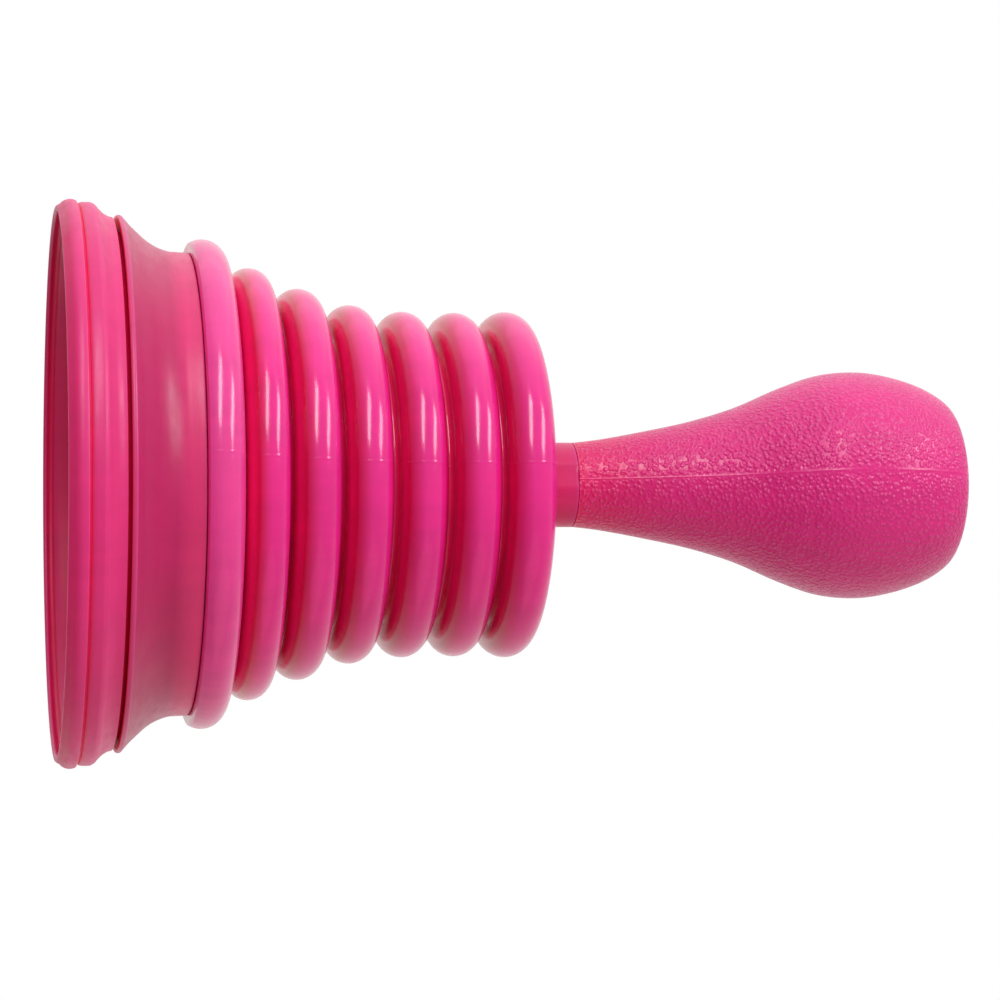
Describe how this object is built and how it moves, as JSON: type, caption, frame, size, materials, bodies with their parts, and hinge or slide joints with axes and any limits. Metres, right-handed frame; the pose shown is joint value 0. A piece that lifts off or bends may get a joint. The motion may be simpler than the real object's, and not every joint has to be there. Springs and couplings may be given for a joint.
{
  "type": "sink plunger",
  "caption": "Sink plunger with a soft lipped cup, a folding bellows body, and a grained bulb grip on a short flexible neck.",
  "frame": {"origin": "centre of the cup's mouth, in the plane that the sealing lip rests on", "axes": "+Z along the plunger's axis from the mouth to the end of the grip, +Y along the pivot axis of the grip's tilt"},
  "size_m": [0.125, 0.125, 0.2072],
  "materials": {
    "soft_vinyl": "satin, soft moulded pink vinyl",
    "glossy_polyethylene": "gloss, blow-moulded pink polyethylene",
    "grained_polyethylene": "pebble-grained pink polyethylene",
    "neck_plastic": "smooth satin-gloss pink plastic",
    "hoop_plastic": "plain moulded pink plastic"
  },
  "bodies": {
    "cup": {"sealing_lip": "soft_vinyl", "cup_skirt": "soft_vinyl", "retaining_hoop": "hoop_plastic", "bellows": "glossy_polyethylene"},
    "neck": {"neck_coupler": "neck_plastic"},
    "handle": {"grip": "grained_polyethylene"}
  },
  "joints": [
    {"name": "pump_stroke", "type": "slide", "parent": "cup", "child": "neck", "axis": [0, 0, 1], "range_m": [-0.036, 0.01], "stiffness_N_per_m": 900, "deforming": ["bellows"]},
    {"name": "grip_tilt", "type": "hinge", "parent": "neck", "child": "handle", "pos_m": [0, 0, 0.1125], "axis": [0, 1, 0], "range_deg": [-12, 12], "stiffness_Nm_per_rad": 3, "deforming": ["neck_coupler"]}
  ]
}
